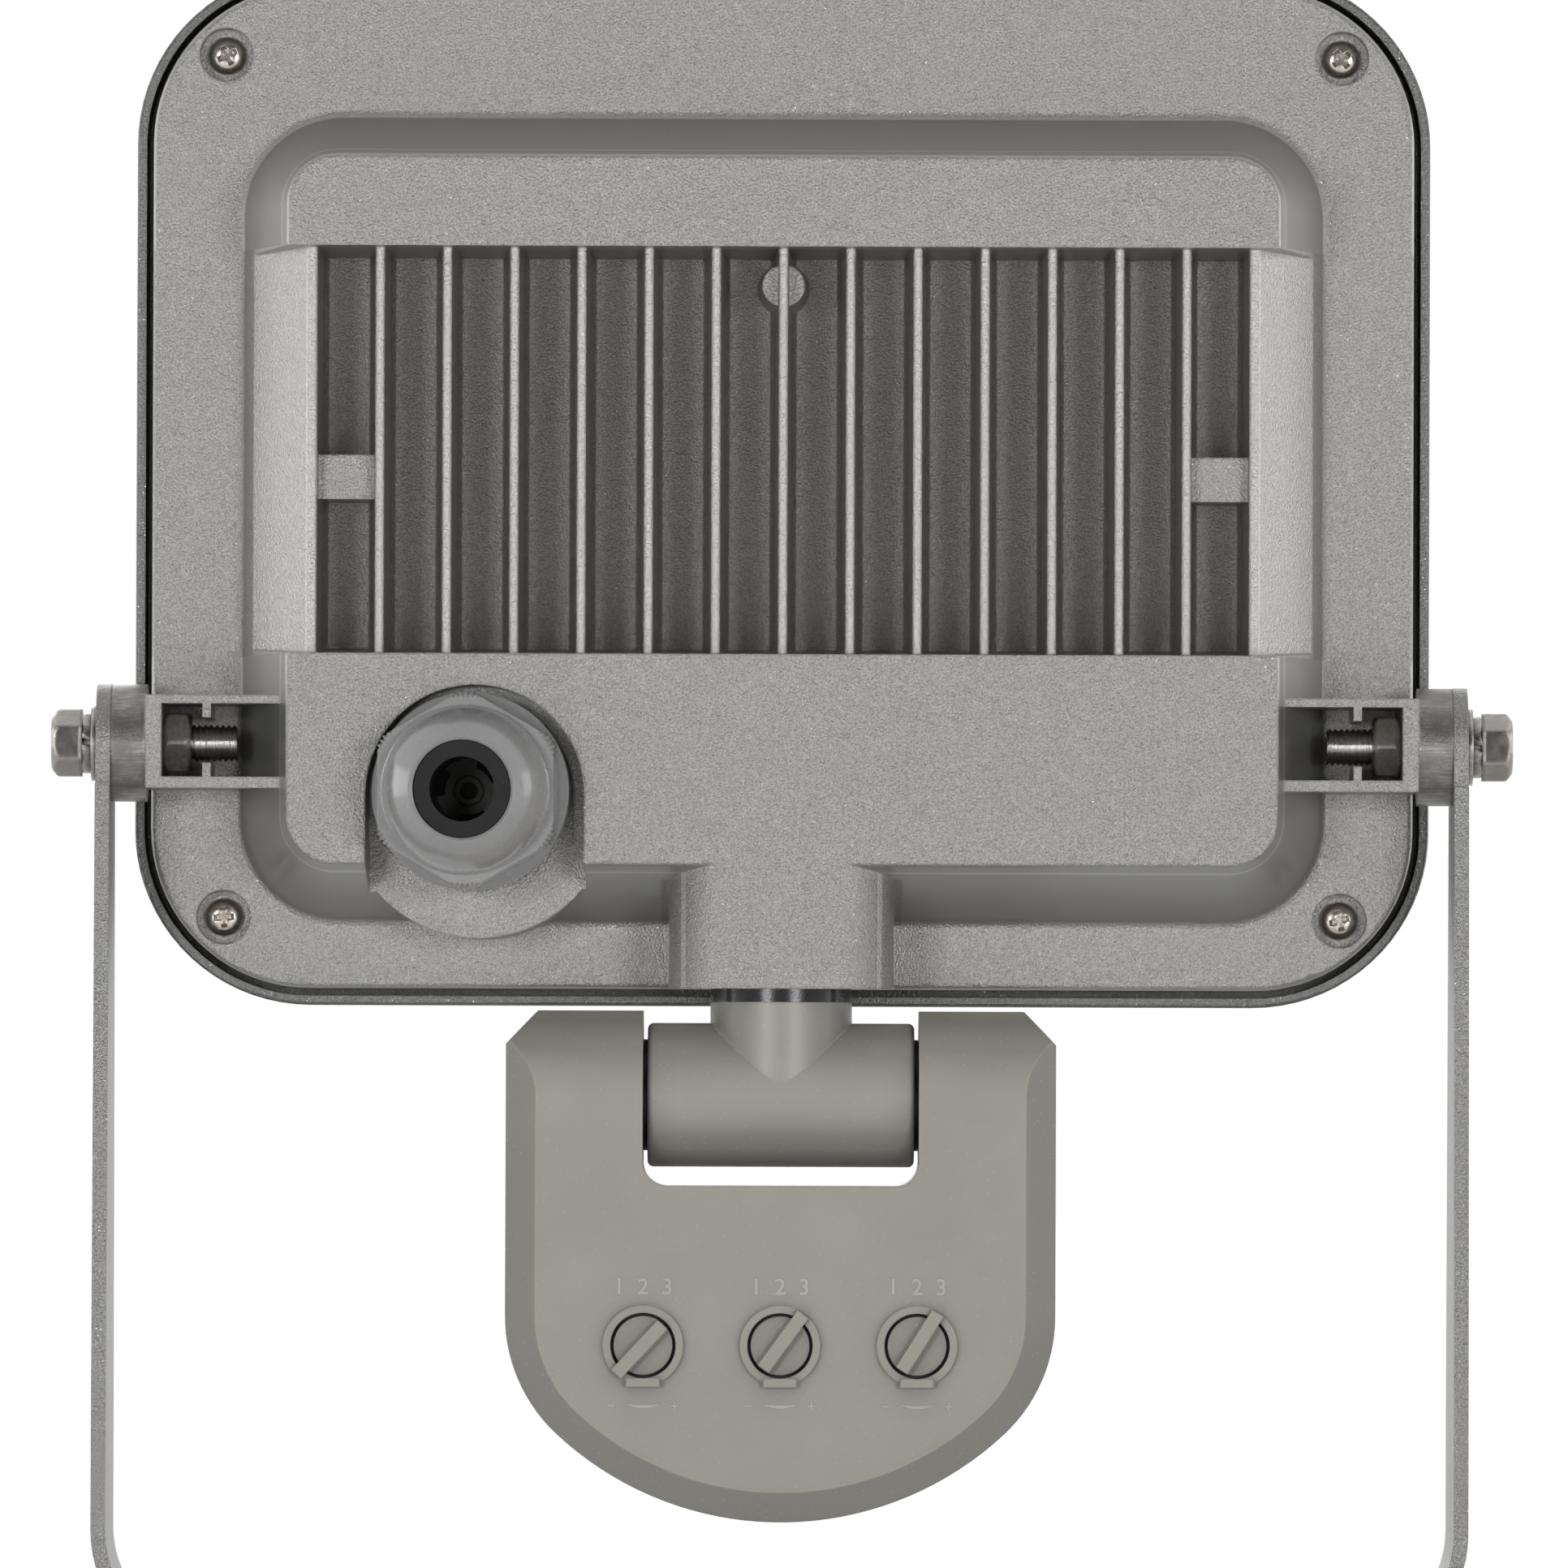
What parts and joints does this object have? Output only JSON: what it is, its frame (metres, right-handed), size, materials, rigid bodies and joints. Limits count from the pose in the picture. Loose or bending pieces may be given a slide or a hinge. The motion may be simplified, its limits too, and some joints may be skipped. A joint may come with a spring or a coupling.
{
  "type": "motion sensor floodlight",
  "caption": "Grey floodlight with a finned cast housing, a cable gland at its back and a motion sensor on a hinged stem below, tilting in a U-shaped wall bracket.",
  "frame": {"origin": "middle of the bracket base's outer face, between its two slots", "axes": "+Z from the bracket base towards the lamp, +X towards the cable gland's side, and the lamp shines towards -Y"},
  "size_m": [0.2, 0.0555, 0.2313],
  "materials": {
    "bracket_paint": "fine grey powder paint",
    "housing_paint": "grey powder paint over die-cast aluminium",
    "sensor_plastic": "fine moulded texture",
    "gland_plastic": "semi-gloss",
    "zinc_steel": "bright zinc",
    "black_rubber": "matt",
    "clear_glass": "clear toughened glass",
    "white_board": "white solder mask over aluminium",
    "led_phosphor": "yellow phosphor",
    "white_plastic": "white",
    "green_board": "green solder mask",
    "transformer_tape": "yellow tape",
    "black_plastic": "matt",
    "copper_wire": "enamelled copper",
    "lens_plastic": "milky and ribbed inside",
    "photocell_face": "lacquered",
    "adjuster_plastic": "blue"
  },
  "bodies": {
    "bracket": {"bracket": "bracket_paint"},
    "lamp": {"pivot_bolts": "zinc_steel", "pivot_spring_washers": "zinc_steel", "pivot_washers": "zinc_steel", "pivot_nuts": "zinc_steel", "rear_housing": "housing_paint", "front_bezel": "housing_paint", "front_glass": "clear_glass", "glass_gasket": "black_rubber", "housing_gasket": "black_rubber", "bezel_screws": "zinc_steel", "led_board": "white_board", "led_chips": "led_phosphor", "led_board_screws": "zinc_steel", "reflector": "white_plastic", "driver_board": "green_board", "driver_transformer": "transformer_tape", "driver_capacitor": "black_plastic", "driver_choke": "copper_wire", "terminal_block": "white_plastic", "gland_washer": "black_rubber", "gland_body": "gland_plastic", "gland_seal": "black_rubber", "gland_dust_disc": "black_plastic", "gland_claw": "gland_plastic", "gland_nut": "gland_plastic", "gland_locknut": "gland_plastic"},
    "sensor_stem": {"sensor_stem": "sensor_plastic", "stem_seal": "black_rubber", "stem_locknut": "zinc_steel"},
    "sensor_head": {"hinge_discs": "black_plastic", "hinge_tubes": "zinc_steel", "sensor_back_shell": "sensor_plastic", "sensor_front_shell": "sensor_plastic", "sensor_lens": "lens_plastic", "sensor_board": "green_board", "pir_element": "zinc_steel", "photocell": "photocell_face", "relay": "black_plastic", "adjuster_pots": "adjuster_plastic", "shell_screws": "zinc_steel"},
    "time_knob": {"time_knob": "sensor_plastic"},
    "sens_knob": {"sens_knob": "sensor_plastic"},
    "lux_knob": {"lux_knob": "sensor_plastic"}
  },
  "joints": [
    {"name": "lamp_tilt", "type": "hinge", "parent": "bracket", "child": "lamp", "pos_m": [0, 0, 0.1244], "axis": [1, 0, 0], "range_deg": [-120, 120]},
    {"name": "sensor_swivel", "type": "hinge", "parent": "lamp", "child": "sensor_stem", "pos_m": [0, 0.0015, 0.0765], "axis": [0, 0, 1], "range_deg": [-90, 90]},
    {"name": "sensor_tilt", "type": "hinge", "parent": "sensor_stem", "child": "sensor_head", "pos_m": [0, 0.0015, 0.0765], "axis": [1, 0, 0], "range_deg": [-60, 60]},
    {"name": "time_knob_turn", "type": "hinge", "parent": "sensor_head", "child": "time_knob", "pos_m": [0.01865, 0.0125, 0.0424], "axis": [0, -1, 0], "range_deg": [-4, 277]},
    {"name": "sens_knob_turn", "type": "hinge", "parent": "sensor_head", "child": "sens_knob", "pos_m": [0, 0.0125, 0.0424], "axis": [0, -1, 0], "range_deg": [-176, 104]},
    {"name": "lux_knob_turn", "type": "hinge", "parent": "sensor_head", "child": "lux_knob", "pos_m": [-0.01865, 0.0125, 0.0424], "axis": [0, -1, 0], "range_deg": [-172, 108]}
  ]
}
